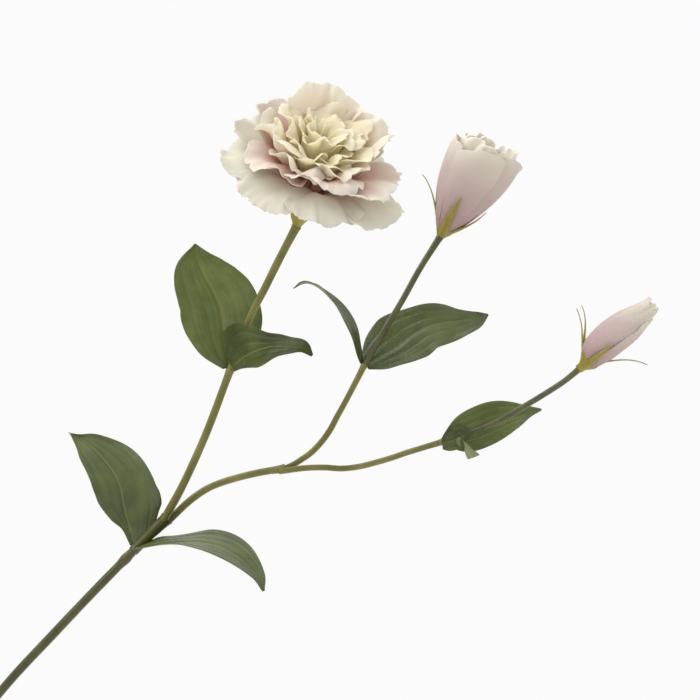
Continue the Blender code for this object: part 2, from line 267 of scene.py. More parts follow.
# Stoneware: thrown, dipped in a cream ash glaze and fired. Satin and slightly pooled, with
# iron specks about 1 mm wide, bare buff clay at the foot and a thin warm edge at the lip.
def glazedStoneware(name, recipe):
    look, tree, shader = newMaterial(name, IOR=1.52, Coat_Weight=0.25, Coat_Roughness=0.12)
    place = addNode(tree, "ShaderNodeTexCoord")
    height = addNode(tree, "ShaderNodeSeparateXYZ", {"Vector": place.outputs["Object"]})
    pool = addNode(tree, "ShaderNodeTexNoise",
                   {"Vector": place.outputs["Object"], "Scale": 1 / 0.02, "Detail": 5.0})
    glaze = addNode(tree, "ShaderNodeValToRGB", {"Fac": pool.outputs["Fac"]},
                    [(0.3, recipe["glazeThick"]), (0.7, recipe["glazeThin"])])
    speck = addNode(tree, "ShaderNodeTexVoronoi",
                    {"Vector": place.outputs["Object"], "Scale": 1 / 0.006})
    dot = addNode(tree, "ShaderNodeValToRGB", {"Fac": speck.outputs["Distance"]},
                  [(0.07, "#ffffff"), (0.13, "#000000")])
    some = addNode(tree, "ShaderNodeMath", {0: speck.outputs["Color"], 1: 0.55},
                   operation="GREATER_THAN")
    specked = addNode(tree, "ShaderNodeMath", {0: dot.outputs["Color"], 1: some.outputs[0]},
                      operation="MULTIPLY")
    dotted = addNode(tree, "ShaderNodeMix", {"Factor": specked.outputs[0],
                                             6: glaze.outputs["Color"],
                                             7: toLinear(recipe["speck"])}, data_type="RGBA")
    lip = addNode(tree, "ShaderNodeMapRange",
                  {"Value": height.outputs["Z"], "From Min": recipe["lipFrom"] * mm,
                   "From Max": recipe["lipTo"] * mm, "To Max": 0.6})
    warm = addNode(tree, "ShaderNodeMix", {"Factor": lip.outputs[0], 6: dotted.outputs[2],
                                           7: toLinear(recipe["lipBreak"])}, data_type="RGBA")
    dip = addNode(tree, "ShaderNodeMath", {0: pool.outputs["Fac"], 1: 0.004}, operation="MULTIPLY")
    edge = addNode(tree, "ShaderNodeMath", {0: height.outputs["Z"], 1: dip.outputs[0]},
                   operation="SUBTRACT")
    bare = addNode(tree, "ShaderNodeMapRange",
                   {"Value": edge.outputs[0], "From Min": recipe["bareTo"] * mm,
                    "From Max": (recipe["bareTo"] + 0.4) * mm, "To Min": 1.0, "To Max": 0.0})
    colour = addNode(tree, "ShaderNodeMix", {"Factor": bare.outputs[0], 6: warm.outputs[2],
                                             7: toLinear(recipe["clay"])}, data_type="RGBA")
    rough = addNode(tree, "ShaderNodeMapRange",
                    {"Value": bare.outputs[0], "To Min": 0.3, "To Max": 0.85})
    grit = addNode(tree, "ShaderNodeTexNoise",
                   {"Vector": place.outputs["Object"], "Scale": 1 / 0.0015, "Detail": 4.0})
    bumped = addNode(tree, "ShaderNodeBump",
                     {"Height": grit.outputs["Fac"], "Strength": 0.12, "Distance": 0.0003})
    linkLook(tree, shader, colour.outputs[2], rough.outputs[0], bumped.outputs["Normal"])
    return look


def cadCorners(node):  # each corner of a CAD solid once
    corners = {}
    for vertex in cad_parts[node].data.vertices:
        corners[tuple(round(c / mm, 2) for c in vertex.co)] = vertex.co / mm
    return list(corners.values())


ringGap = 1.2  # mm along a stem: corners further apart than this are on different rings


# A CAD stem is a row of rings. This gives their middles and radii, from the lower left end.
def stemRings(node):
    corners = cadCorners(node)
    start = min(corners, key=lambda p: p.x)
    end = max(corners, key=lambda p: p.x)
    along = (end - start).normalized()
    corners.sort(key=lambda p: p.dot(along))
    rings = [[corners[0]]]
    for before, corner in zip(corners, corners[1:]):
        if (corner - before).dot(along) > ringGap:
            rings.append([])
        rings[-1].append(corner)
    middles = [sum(ring, Vector()) / len(ring) for ring in rings]
    radii = [sum((p - middle).length for p in ring) / len(ring)
             for ring, middle in zip(rings, middles)]
    return middles, radii


stemEnds = {node: stemRings(node)[0][-1] for node in
            ("main_stem", "open_flower_branch", "open_flower_stalk", "half_open_branch",
             "half_open_stalk", "bud_branch", "bud_stalk")}
print("frame loaded,", len(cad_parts), "nodes")


# Each stem: its plastic, how much its radius grows in a rim at its far end, and swellings as
# (mm from the far end, share of the radius, width in mm). taper is how much thinner it starts,
# and settle moves its start in mm, so that two branches leave a collar side by side.
deepOlive = mouldedPolyethylene("deep olive moulded polyethylene", [
    (0.35, "#393819"), (0.7, "#4f4d23")])
lightOlive = mouldedPolyethylene("light olive moulded polyethylene", [
    (0.35, "#5a5722"), (0.7, "#757138")])
greyOlive = mouldedPolyethylene("grey olive moulded polyethylene", [
    (0.35, "#414329"), (0.7, "#575733")])
stems = {
    "main_stem": dict(look=deepOlive, rim=0.1, swellings=[(9.0, 0.2, 3.2)]),
    "fork_sleeve": dict(look=deepOlive, rim=0.1, swellings=[(15.0, -0.12, 5.0)]),
    "open_flower_branch": dict(look=lightOlive, rim=0.1, swellings=[(1.0, 0.08, 3.0)]),
    "open_flower_stalk": dict(look=lightOlive, rim=0.14, swellings=[(0.0, 0.1, 6.0)]),
    "side_branch": dict(look=lightOlive, rim=0.12, swellings=[(0.0, 0.26, 3.6)]),
    "half_open_branch": dict(look=lightOlive, rim=0.1, swellings=[(1.0, 0.08, 3.0)], taper=0.15,
                             settle=(0.4, 0.0, -1.2)),
    "half_open_stalk": dict(look=greyOlive, rim=0.12, swellings=[(0.0, 0.12, 7.0)]),
    "bud_branch": dict(look=lightOlive, rim=0.1, swellings=[(1.0, 0.1, 3.0)]),
    "bud_stalk": dict(look=greyOlive, rim=0.14, swellings=[(0.0, 0.12, 6.0)]),
}
# Lengths are mm and angles radians; wander is how unevenly a stem thickens along its length.
stemShape = dict(flat=0.04, flatAt=0.8, seam=0.1, seamAt=0.7, seamWidth=0.09, rimLength=1.5,
                 wander=0.03, wanderLength=12, taperLength=9, settleLength=14, pushedIn=3.2,
                 reach=0.5, sides=32, step=0.8, tangentStep=0.01)


# A flat and two mould seams run along each stem.
def stemRadius(radius, angle, fromEnd, length, stem, seed):
    shape = 1 + stemShape["flat"] * math.cos(2 * angle + stemShape["flatAt"])
    shape -= stem.get("taper", 0.0) * smoothStep(1 - (length - fromEnd) / stemShape["taperLength"])
    shape += sum(share * bell(fromEnd - at, width) for at, share, width in stem["swellings"])
    shape += (stem["rim"] * smoothStep(stemShape["rimLength"] - fromEnd)
              + stemShape["wander"] * wobble(fromEnd / stemShape["wanderLength"], 0.5, seed))
    seam = bell(math.sin(angle - stemShape["seamAt"]), stemShape["seamWidth"])
    return radius * shape + stemShape["seam"] * seam


def makeStem(node, stem, seed):
    middles, radii = stemRings(node)
    # one end is pushed into the piece below and the other meets the piece above
    middles[0] = middles[0] - (middles[1] - middles[0]).normalized() * stemShape["pushedIn"]
    middles[-1] = middles[-1] + (middles[-1] - middles[-2]).normalized() * stemShape["reach"]
    length = sum((b - a).length for a, b in zip(middles, middles[1:]))
    count, sides = round(length / stemShape["step"]), stemShape["sides"]
    settle = Vector(stem.get("settle", (0, 0, 0)))
    ahead = stemShape["tangentStep"]
    points, uvs = [], []
    for i in range(count + 1):
        share = i / count
        along = (curvePoint(middles, share + ahead) - curvePoint(middles, share - ahead)).normalized()
        radius = curvePoint([(r, 0, 0) for r in radii], share).x
        middle = curvePoint(middles, share)
        middle += settle * smoothStep(1 - share * length / stemShape["settleLength"])
        front = Vector((0, -1, 0))
        front = (front - along * front.dot(along)).normalized()
        side = along.cross(front)
        for k in range(sides):
            angle = 2 * math.pi * k / sides
            reach = stemRadius(radius, angle, (1 - share) * length, length, stem, seed)
            points.append(middle + (front * math.cos(angle) + side * math.sin(angle)) * reach)
            uvs.append((k / sides, share * length / 10))
    faces = ringFaces(count + 1, sides)
    makeObject(node + "_skin", points, faces, uvs, [stem["look"]], node, "stem_sleeve")


for seed, (node, stem) in enumerate(stems.items()):
    makeStem(node, stem, seed)
print("stems made:", len(stems))


# Each leaf sits at a stem's end. dye names its cloth in leafTopsWithPaintedShadeAndLight: mid is the
# plain green, deep the same green darkened as painted shade for leaves that face down or away from
# the lamps, and light it lightened as painted light for leaves that face them. midrib is in mm from
# the stem's end; left and right are the widths of its halves in mm from base to tip; face is where
# the upper side looks, from base to tip; fold is how far the halves rise; wave is the margin's
# (height mm, waves, phase).
leaves = {
    "lower_left_leaf": dict(
        at="main_stem", dye="mid",
        midrib=[(-0.5, 1.5, 2), (-3, 4, 9.5), (-5, 5, 15.5), (-6.5, 6, 22.5), (-7.7, 7, 28.5),
                (-10.7, 8, 34.8), (-15.8, 10, 41), (-22, 12.5, 47), (-28, 14.5, 50.5),
                (-32.5, 15.5, 52.8)],
        left=[2, 3.5, 7.5, 11, 11.8, 11.5, 10, 7.8, 3.5, 0.2],
        right=[7, 13, 17, 17.8, 16, 14, 11, 6, 1.5, 0.2],
        face=[(0.3, -0.9, 0.1), (-0.1, -0.9, 0.35), (0.1, -0.8, 0.6)], fold=0.3,
        wave=(0.9, 2.2, 0.4)),
    "lower_right_leaf": dict(
        at="main_stem", dye="mid",
        midrib=[(1.5, -2.5, 1.5), (7, -6, 2.8), (12.9, -9, 3.6), (22.1, -13, 4.6),
                (31.3, -17, 5.0), (41.4, -20.5, 3.0), (50.3, -24, -2), (57.2, -26, -9.5),
                (60.2, -27, -16)],
        left=[4, 8, 11, 13.0, 14, 13.6, 11, 5.6, 0.2],
        right=[5, 8, 11, 13.0, 13.5, 12.6, 9.5, 4.6, 0.2],
        face=[(-0.1, -0.2, 0.97), (0.05, -0.17, 0.98), (0.75, -0.6, 0.35)], fold=0.12,
        wave=(0.7, 2.0, 1.2)),
    # its light cloth is the green lightened as painted light
    "upper_left_leaf": dict(
        at="open_flower_branch", dye="light",
        midrib=[(-0.5, 2.5, 1), (-2, 4.5, 9), (-2.9, 6, 17.5), (-4, 7.5, 25), (-6, 9, 32),
                (-9.3, 10, 38.5), (-13, 11.5, 45), (-15.6, 13, 51), (-17.2, 14, 58.5)],
        left=[3, 12.5, 17.5, 19, 18.5, 17.3, 15, 10.5, 0.2],
        right=[4, 12, 17, 18, 17.3, 15, 11.5, 7.5, 0.2],
        face=[(0.15, -0.95, 0.05), (0.05, -0.95, 0.2), (0.2, -0.9, 0.35)], fold=0.12,
        wave=(0.6, 1.8, 2.0)),
    # its deep cloth is the green darkened as painted shade
    "upper_right_leaf": dict(
        at="open_flower_branch", dye="deep",
        midrib=[(1, -2.8, 1.5), (4.2, -5.5, 4.2), (8.5, -8.5, 7), (13, -11.5, 9.2),
                (18, -14.5, 10.8), (23.5, -17.5, 11.2), (29, -20, 10.8), (34, -21.8, 10),
                (38, -22.5, 6.8)],
        left=[4, 12.5, 15.5, 11, 6.0, 5.5, 4.5, 2.8, 0.6],
        right=[2.5, 4, 7, 11, 13.5, 12.5, 8.5, 2.6, 0.6],
        face=[(-0.2, -0.95, 0.1), (-0.1, -0.8, 0.55), (0.3, -0.75, 0.6)], fold=0.34,
        wave=(1.2, 2.6, 0.0)),
    "middle_left_leaf": dict(
        at="half_open_branch", dye="mid",
        midrib=[(-1, 0.5, 1), (-3.3, 0, 9.3), (-6, -0.5, 17.6), (-10.2, -1, 24.9),
                (-15.7, -2, 31.6), (-20.3, -3, 36), (-25, -4, 38.5), (-29, -5, 38.4),
                (-32.8, -6, 35.8)],
        left=[1.6, 4.5, 6.5, 6.5, 5, 4, 4, 2.6, 0.2],
        right=[1.6, 4.5, 6.5, 6.5, 5, 4, 4, 2.6, 0.2],
        face=[(0.85, -0.45, 0.3), (0.85, -0.3, 0.5), (0.6, -0.02, 0.8), (0.15, 0.02, 1.0)],
        fold=0.14, wave=(0.4, 2.0, 0.7)),
    "middle_right_leaf": dict(
        at="half_open_branch", dye="mid",
        midrib=[(0.5, 2.5, 0.3), (8, 5, 4.2), (15.5, 7, 8.8), (22, 8.5, 13.8), (29, 9.5, 18),
                (37, 10, 20.2), (45, 11, 21.2), (53, 12.2, 22.6), (59, 13, 24.1)],
        left=[4.5, 13, 16, 15, 12, 9.5, 6.8, 3, 0.2],
        right=[3, 8.5, 12, 14, 13.6, 12, 9.8, 6.6, 0.2],
        face=[(-0.3, -0.85, 0.4), (-0.2, -0.9, 0.4), (-0.1, -0.85, 0.5)], fold=0.12,
        wave=(1.0, 3.2, 1.9)),
    # its light cloth is the green lightened as painted light
    "bud_branch_back_leaf": dict(
        at="bud_branch", dye="light",
        midrib=[(0.8, 2, 0.3), (6.5, 3, 2.2), (12, 3.6, 4.2), (17.5, 4.1, 6), (23, 4.5, 8),
                (28.5, 4.8, 9.8), (34.3, 5.1, 11.5), (39.5, 5.6, 13), (45.5, 6, 14.6)],
        left=[2.5, 7, 9.4, 10.3, 10.2, 9.2, 7, 3.6, 0.2],
        right=[2.5, 7.4, 9.2, 9.2, 8.6, 7.2, 5, 2.4, 0.2],
        face=[(0.1, -0.95, 0.2), (0.05, -0.97, 0.2), (0.1, -0.85, 0.5)], fold=0.1,
        wave=(0.5, 2.4, 0.3)),
    # its deep cloth is the green darkened as painted shade
    "bud_branch_front_leaf": dict(
        at="bud_branch", dye="deep",
        midrib=[(-0.5, -2.2, -0.6), (2.2, -3.6, 0.2), (4.8, -4.8, 1.2), (7.2, -6.4, 2.6),
                (8.8, -8.0, 2.6), (9.6, -9.2, 1.0), (10.6, -9.6, -1.6), (11.8, -9.2, -4.4),
                (13.2, -8.6, -6.8)],
        left=[2.5, 5.0, 6.4, 6.4, 4.4, 1.2, 1.9, 2.8, 3.2],
        right=[3, 4.6, 5.2, 5.0, 3.6, 1.2, 1.9, 2.8, 3.2],
        face=[(-0.2, -0.9, 0.3), (-0.1, -0.9, 0.4), (0.4, -0.8, 0.4), (0.6, 0.6, 0.2),
              (0.5, 0.8, 0.2)],
        fold=0.1, wave=(0.3, 1.6, 0.9)),
}
# deep and light are the mid green darkened and lightened: painted shade and painted light for how
# each leaf faces the lamps
leafTopsWithPaintedShadeAndLight = {
    "deep": leafCloth("latex-coated leaf cloth, green darkened for painted shade", "#2b3510", "#46501f", "#7d853b",
                      0.42, 0.28),
    "mid": leafCloth("latex-coated leaf cloth, green", "#3a451d", "#515b2c", "#727743", 0.36, 0.5),
    "light": leafCloth("latex-coated leaf cloth, green lightened for painted light", "#434f20", "#5d6830", "#7b8045",
                       0.4, 0.4),
}
leafBack = leafCloth("latex-coated leaf cloth, back", "#666b47", "#858964", "#93946a", 0.62, 0.4)
# Depths and widths are mm. opening is how soon the halves rise from the base. otherSide shifts
# the margin's wave on one half, in radians. veins are where the arching veins run, from 0 at the
# midrib to 1 at the margin.
leafShape = dict(thickness=0.35, rows=80, columns=44, tangentStep=0.03, leastWidth=0.1, opening=5,
                 foldCurve=1.3, otherSide=2.1, midribDepth=0.45, midribWidth=1.0,
                 veins=(0.36, 0.7), veinDepth=0.28, veinWidth=0.8, crease=0.5)


def leafPlace(leaf):
    root = stemEnds[leaf["at"]]
    midrib = [root + Vector(step) for step in leaf["midrib"]]
    halves = {side: [(0, 0, width) for width in leaf[side]] for side in ("left", "right")}
    height, waves, phase = leaf["wave"]
    ahead = leafShape["tangentStep"]

    def place(u, v):
        middle = curvePoint(midrib, u)
        along = (curvePoint(midrib, u + ahead) - curvePoint(midrib, u - ahead)).normalized()
        face = curvePoint(leaf["face"], u)
        face = (face - along * face.dot(along)).normalized()
        width = max(curvePoint(halves["right" if v > 0 else "left"], u).z, leafShape["leastWidth"])
        edge, side = abs(v), (leafShape["otherSide"] if v > 0 else 0.0)
        opening = smoothStep(u * leafShape["opening"])
        lift = leaf["fold"] * width * edge ** leafShape["foldCurve"] * opening
        lift += height * edge ** 2 * opening * math.sin(2 * math.pi * waves * u + phase + side)
        groove = bell(v * width, leafShape["midribWidth"])
        lift -= leafShape["midribDepth"] * groove * smoothStep(4 - 4 * u)
        for at in leafShape["veins"]:  # they fade in near the base and out towards the tip
            groove = bell((edge - at) * width, leafShape["veinWidth"])
            lift -= leafShape["veinDepth"] * groove * smoothStep(3 - 3 * u) * smoothStep(8 * u)
        lift += leafShape["crease"] * wobble(u * 5 + side, v * 2.5, height + phase) * edge
        return middle + along.cross(face) * (width * v) + face * lift

    return place


for name, leaf in leaves.items():
    makeSheet(name + "_cloth", leafPlace(leaf), leafShape["rows"], leafShape["columns"],
              leafShape["thickness"], [leafTopsWithPaintedShadeAndLight[leaf["dye"]], leafBack], name, "leaf_fabric")
print("leaves made:", len(leaves))


# A head sits at a stalk's end, moved by seat in mm, and leans right and forward in degrees.
# drift is how far it strays from its regular shape in mm, and shift is (mm sideways, the height
# in mm by which it is reached). Its own +Z runs up its axis.
def headFrame(head):
    turn = (Matrix.Rotation(math.radians(head["right"]), 3, "Y")
            @ Matrix.Rotation(math.radians(head["forward"]), 3, "X"))
    return Matrix.Translation(stemEnds[head["at"]] + Vector(head["seat"])) @ turn.to_4x4()


# A petal's row in petals: its direction in degrees (270 looks out of the front), the rim's
# distance from the axis and height on it in mm, half its width in degrees, how far its middle
# bulges out (minus bulges in, so the rim droops), and how much lower one side of the rim is.
# nodes is how many petals the CAD whorl has; the rows past that fill it in and share its nodes.
# base is where a petal starts, as (distance from the axis, height on it) in mm. bulge is where
# the two handles of its curve stand, as shares of its length, and how much of the bulge the
# first one takes. claw is the width at the base as a share of the full width.
# wave is the slow waving (mm, waves), frill the quick one at the rim (mm, waves), crumple the
# creasing all over (mm, size of a crease in mm), curl how the rim turns out (where it starts,
# degrees, how many degrees that varies, waves of it). lobes and notch are how many scallops the
# rim has and how deep the cuts between them are, tear the small cuts (depth, how many), round
# how far the corners are rounded off. lap is the tilt in mm that lets neighbours overlap, and
# twist how far the tip is turned round the axis in degrees.
petalShape = dict(
    thickness=0.2, leastRadius=0.5,         # mm
    phaseStep=2.399963,                     # the golden angle, so that no two petals wave alike
    scallopWander=0.3, scallopCurve=1.6,    # how unevenly scallops are spaced, how sharp the cuts
    cutFrom=1.4, riseFrom=1.2, widenFrom=2, lapFrom=4,  # how soon each grows along the petal
    leastTurn=0.05,                         # radians: a flatter curl counts as this much
    frillFrom=0.7, sideFrill=0.6,           # where the frill starts, how much runs down the sides
    lapLift=0.4, driftSize=20,              # share of the lap that lifts, size of a stray in mm
)


def petalPlace(head, whorl, row, seed):
    direction, rimRadius, rimHeight, half, belly, slant = row
    placed = headFrame(head)
    base, rim = Vector((*whorl["base"], 0)), Vector((rimRadius, rimHeight, 0))
    chord = rim - base
    out = Vector((chord.y, -chord.x, 0)).normalized()
    near, far, low = whorl["bulge"]
    profile = [base, base + chord * near + out * belly * low, base + chord * far + out * belly, rim]
    waveSize, waves = whorl["wave"]
    frillSize, frills = whorl["frill"]
    creaseSize, creaseWidth = whorl["crumple"]
    tearDepth, tears = whorl["tear"]
    curlFrom, curlTurn, curlVary, curlWaves = whorl["curl"]
    shiftX, shiftBy = head["shift"]
    phase = seed * petalShape["phaseStep"]
    start, along0 = handlePoint(profile, curlFrom)
    out0 = Vector((along0.y, -along0.x, 0))
    left = chord.length * (1 - curlFrom)  # how much sheet the curl has

    def place(u, v):
        uneven = v + petalShape["scallopWander"] * wobble(v * 2, 0.3, seed)
        across = whorl["lobes"] * uneven * math.pi / 2 + phase
        notch = whorl["notch"] * (1 - abs(math.cos(across))) ** petalShape["scallopCurve"]
        lower = abs(slant) * (1 - v if slant > 0 else 1 + v) / 2
        torn = tearDepth * abs(wobble(v * tears, 0.9, seed + 5)) * 2
        cut = whorl["round"] * abs(v) ** 3 + lower + notch + torn
        share = u * (1 - cut * smoothStep(u * petalShape["cutFrom"]))
        point, along = handlePoint(profile, share)
        if share > curlFrom:
            s = (share - curlFrom) / (1 - curlFrom)
            turn = math.radians(curlTurn + 2 * curlVary * wobble(v * curlWaves, 0.6, seed + 2))
            turn = turn if abs(turn) > petalShape["leastTurn"] else petalShape["leastTurn"]
            bend = left / turn
            point = (start + along0 * bend * math.sin(turn * s)
                     + out0 * bend * (1 - math.cos(turn * s)))
            along = along0 * math.cos(turn * s) + out0 * math.sin(turn * s)
        outR, outH = along.y, -along.x  # square to the petal, away from the axis
        widening = smoothStep(share * petalShape["widenFrom"])
        width = half * (whorl["claw"] + (1 - whorl["claw"]) * widening)
        angle = math.radians(direction + width * v + whorl["twist"] * share)
        lean = whorl["lap"] * v * smoothStep(share * petalShape["lapFrom"])
        rise = smoothStep(share * petalShape["riseFrom"])
        edge = max(smoothStep((share - petalShape["frillFrom"]) / (1 - petalShape["frillFrom"])),
                   petalShape["sideFrill"] * abs(v) ** 5 * rise)
        push = waveSize * rise * math.sin(waves * math.pi * v + phase)
        push += frillSize * edge * wobble(v * frills, share * 1.5, seed) * 2
        radius = max(point.x - lean + outR * push, petalShape["leastRadius"])
        height = point.y + petalShape["lapLift"] * lean + outH * push
        spot = Vector((radius * math.cos(angle), radius * math.sin(angle), height))
        stray = noise.noise_vector(spot / petalShape["driftSize"] + Vector((0, 0, head["seed"])))
        crease = noise.noise_vector(spot / creaseWidth + Vector((seed, 0, 0))) * creaseSize
        spot += (stray * head["drift"] + crease) * rise
        spot += Vector((shiftX * smoothStep(height / shiftBy), 0, 0))
        return placed @ spot

    return place


def makePetals(head, whorls):
    for whorl in whorls:
        for i, row in enumerate(whorl["petals"]):
            seed = head["seed"] * 10 + len(whorl["petals"]) * 0.37 + i * 1.7
            number = i % whorl["nodes"] + 1
            layer = "" if i < whorl["nodes"] else "_fill"
            makeSheet(f"{whorl['name']}_{number}{layer}_cloth", petalPlace(head, whorl, row, seed),
                      whorl["rows"], whorl["columns"], petalShape["thickness"], [whorl["look"]],
                      f"{whorl['name']}_{number}", whorl["slot"])
    print(head["name"], "petals made")


creamCloth = petalCloth("pressed petal cloth, cream", [
    (0.1, "#d8b5a9"), (0.4, "#e0d1c7"), (0.65, "#e3dfd2"), (1.0, "#e4e1d5")], 0.5)
blushCloth = petalCloth("pressed petal cloth, blush", [
    (0.3, "#b57263"), (0.6, "#dab0a4"), (0.8, "#e8d4ca"), (1.0, "#ebe7dd")])
warmCloth = petalCloth("pressed petal cloth, warm cream", [
    (0.3, "#c08270"), (0.55, "#e3bdad"), (0.75, "#efe0d0"), (0.95, "#f0ecdf")], 0.5)
heartCloth = petalCloth("pressed petal cloth, yellow heart", [
    (0.15, "#e0b995"), (0.45, "#efdfbd"), (0.75, "#f6efd3"), (1.0, "#f8f4e4")], 0.55)
paleCloth = petalCloth("pressed petal cloth, pale cream", [
    (0.3, "#dccdb6"), (0.6, "#eae4d2"), (1.0, "#f1ede2")])
rosyCloth = petalCloth("pressed petal cloth, rosy", [
    (0.0, "#a58480"), (0.35, "#c0a6a3"), (0.7, "#cdbcb5"), (1.0, "#dfd9ca")], 0.3)

openHead = dict(name="open flower", at="open_flower_stalk", seat=(0.2, -0.2, 0.4), right=18,
                forward=32, seed=1.0, drift=1.4, shift=(0.0, 10.0))
openWhorls = [
    dict(name="open_outer_petal", nodes=6, look=creamCloth, slot="cream_petal_fabric",
         base=(3.6, 7.6), bulge=(0.3, 0.7, 1.0), petals=[
             (194, 45, 24, 34, -16, 0.0), (246, 43, 20, 33, -20, 0.0), (292, 43, 25, 33, -17, 0.0),
             (338, 46, 25, 32, -14, 0.0), (36, 43, 30, 33, -8, 0.0), (150, 43, 34, 33, -7, 0.0)],
         wave=(1.3, 1.4), frill=(1.1, 6.0), crumple=(1.0, 13), curl=(0.84, -5, 45, 2.0),
         claw=0.6, lobes=3, notch=0.04, tear=(0.018, 8), round=0.14,
         lap=0.9, twist=0, rows=72, columns=96),
    dict(name="open_second_petal", nodes=5, look=blushCloth, slot="blush_petal_fabric",
         base=(3.4, 9.2), bulge=(0.3, 0.7, 1.0), petals=[
             (226, 37, 34, 42, -15, 0.0), (288, 37, 41, 40, -13, 0.0), (342, 41, 38, 38, -12, 0.0),
             (62, 34, 46.5, 42, -2, 0.0), (143, 36, 45, 42, -4, 0.0)],
         wave=(1.5, 1.8), frill=(1.2, 6.0), crumple=(0.9, 10), curl=(0.78, 25, 45, 1.8),
         claw=0.6, lobes=4, notch=0.04, tear=(0.018, 8), round=0.14,
         lap=0.9, twist=0, rows=72, columns=96),
    dict(name="open_third_petal", nodes=5, look=warmCloth, slot="blush_petal_fabric",
         base=(3.4, 10.8), bulge=(0.3, 0.7, 1.0), petals=[
             (192, 27, 49, 42, -3, 0.0), (256, 27, 45, 42, -5, 0.0), (318, 27, 47, 42, -4, 0.0),
             (30, 26, 58, 44, 3, 0.0), (104, 24, 61, 46, 3, 0.0)],
         wave=(1.8, 2.4), frill=(1.3, 5.5), crumple=(1.4, 8), curl=(0.74, 45, 50, 1.6),
         claw=0.6, lobes=3, notch=0.04, tear=(0.02, 8), round=0.12,
         lap=0.9, twist=0, rows=72, columns=96),
    dict(name="open_inner_petal", nodes=5, look=heartCloth, slot="heart_petal_fabric",
         base=(3.3, 12.4), bulge=(0.3, 0.7, 1.0), petals=[
             (214, 20, 51, 42, 0, 0.0), (286, 20, 49, 44, -1, 0.0), (350, 20, 52, 42, 0, 0.0),
             (66, 18, 57, 46, 2, 0.0), (142, 18, 57, 44, 2, 0.0), (180, 14, 52, 40, 0, 0.0),
             (250, 14, 50, 42, 0, 0.0), (312, 14, 51, 42, 0, 0.0), (30, 13, 55, 42, 1, 0.0),
             (108, 12, 56, 42, 1, 0.0)],
         wave=(1.5, 1.8), frill=(0.9, 3), crumple=(1.0, 8), curl=(0.7, 75, 40, 1.5),
         claw=0.6, lobes=2, notch=0.06, tear=(0.02, 7), round=0.12,
         lap=0.8, twist=0, rows=60, columns=76),
    dict(name="open_heart_petal", nodes=4, look=heartCloth, slot="heart_petal_fabric",
         base=(3.3, 14.0), bulge=(0.3, 0.7, 1.0), petals=[
             (180, 9, 53, 50, 0, 0.0), (270, 9, 52, 52, 0, 0.0), (0, 9, 54, 50, 0, 0.0),
             (90, 8, 56, 52, 0, 0.0), (225, 5, 53, 60, 0, 0.0), (315, 5, 54, 60, 0, 0.0),
             (45, 4, 55, 60, 0, 0.0), (135, 4, 55, 60, 0, 0.0)],
         wave=(1.0, 1.6), frill=(0.8, 3), crumple=(0.8, 7), curl=(0.72, 70, 50, 1.5),
         claw=0.6, lobes=2, notch=0.05, tear=(0.02, 6), round=0.12,
         lap=0.7, twist=0, rows=56, columns=64),
]
makePetals(openHead, openWhorls)

halfOpenHead = dict(name="half-open flower", at="half_open_stalk", seat=(0.2, 0.1, 0.5), right=30,
                    forward=6, seed=2.0, drift=0.6, shift=(0.0, 10.0))
halfOpenWhorls = [
    dict(name="half_open_outer_petal", nodes=5, look=rosyCloth, slot="blush_petal_fabric",
         base=(2.2, 1.6), bulge=(0.2, 0.7, 0.42), petals=[
             (254, 17.4, 49.5, 49, 9.8, 0.2), (328, 16.6, 49, 42, 7.2, 0.0),
             (40, 14, 50, 44, 7.0, 0.0), (112, 13, 50, 44, 7.0, 0.0),
             (184, 16.6, 47.5, 48, 9.4, -0.05)],
         wave=(0.25, 1.2), frill=(0.3, 2), crumple=(0.5, 18), curl=(0.88, 10, 40, 1.6),
         claw=0.95, lobes=2, notch=0.02, tear=(0.008, 4), round=0.05,
         lap=-0.2, twist=0, rows=60, columns=60),
    dict(name="half_open_inner_petal", nodes=4, look=paleCloth, slot="cream_petal_fabric",
         base=(2.2, 4.0), bulge=(0.2, 0.7, 0.42), petals=[
             (208, 13.2, 49.5, 60, 6, 0.0), (300, 11.5, 49, 58, 5, 0.0), (25, 12, 54, 50, 4.5, 0.0),
             (120, 9.5, 53, 56, 5, 0.0)],
         wave=(0.6, 1.6), frill=(0.8, 3), crumple=(0.9, 10), curl=(0.88, -25, 30, 2.0),
         claw=0.9, lobes=2, notch=0.06, tear=(0.02, 5), round=0.04,
         lap=1.0, twist=0, rows=60, columns=64),
]
makePetals(halfOpenHead, halfOpenWhorls)

budHead = dict(name="bud", at="bud_stalk", seat=(0.3, -0.2, 0.3), right=51, forward=8, seed=3.0,
               drift=0.3, shift=(-1.7, 9.0))
budWhorls = [
    dict(name="bud_petal", nodes=4, look=rosyCloth, slot="blush_petal_fabric", base=(2.0, 1.6),
         bulge=(0.1, 0.5, 1.0), petals=[
             (236, 2.8, 46, 54, 7.4, 0.0), (326, 3.2, 43, 52, 7.4, 0.1), (56, 2.6, 45, 52, 7.4, 0.0),
             (146, 3.0, 46, 52, 7.4, 0.0)],
         wave=(0.12, 2.0), frill=(0.5, 2.5), crumple=(0.7, 9), curl=(0.88, 12, 30, 2.0),
         claw=0.9, lobes=3, notch=0.06, tear=(0.015, 5), round=0.05,
         lap=0.25, twist=36, rows=64, columns=56),
]
makePetals(budHead, budWhorls)


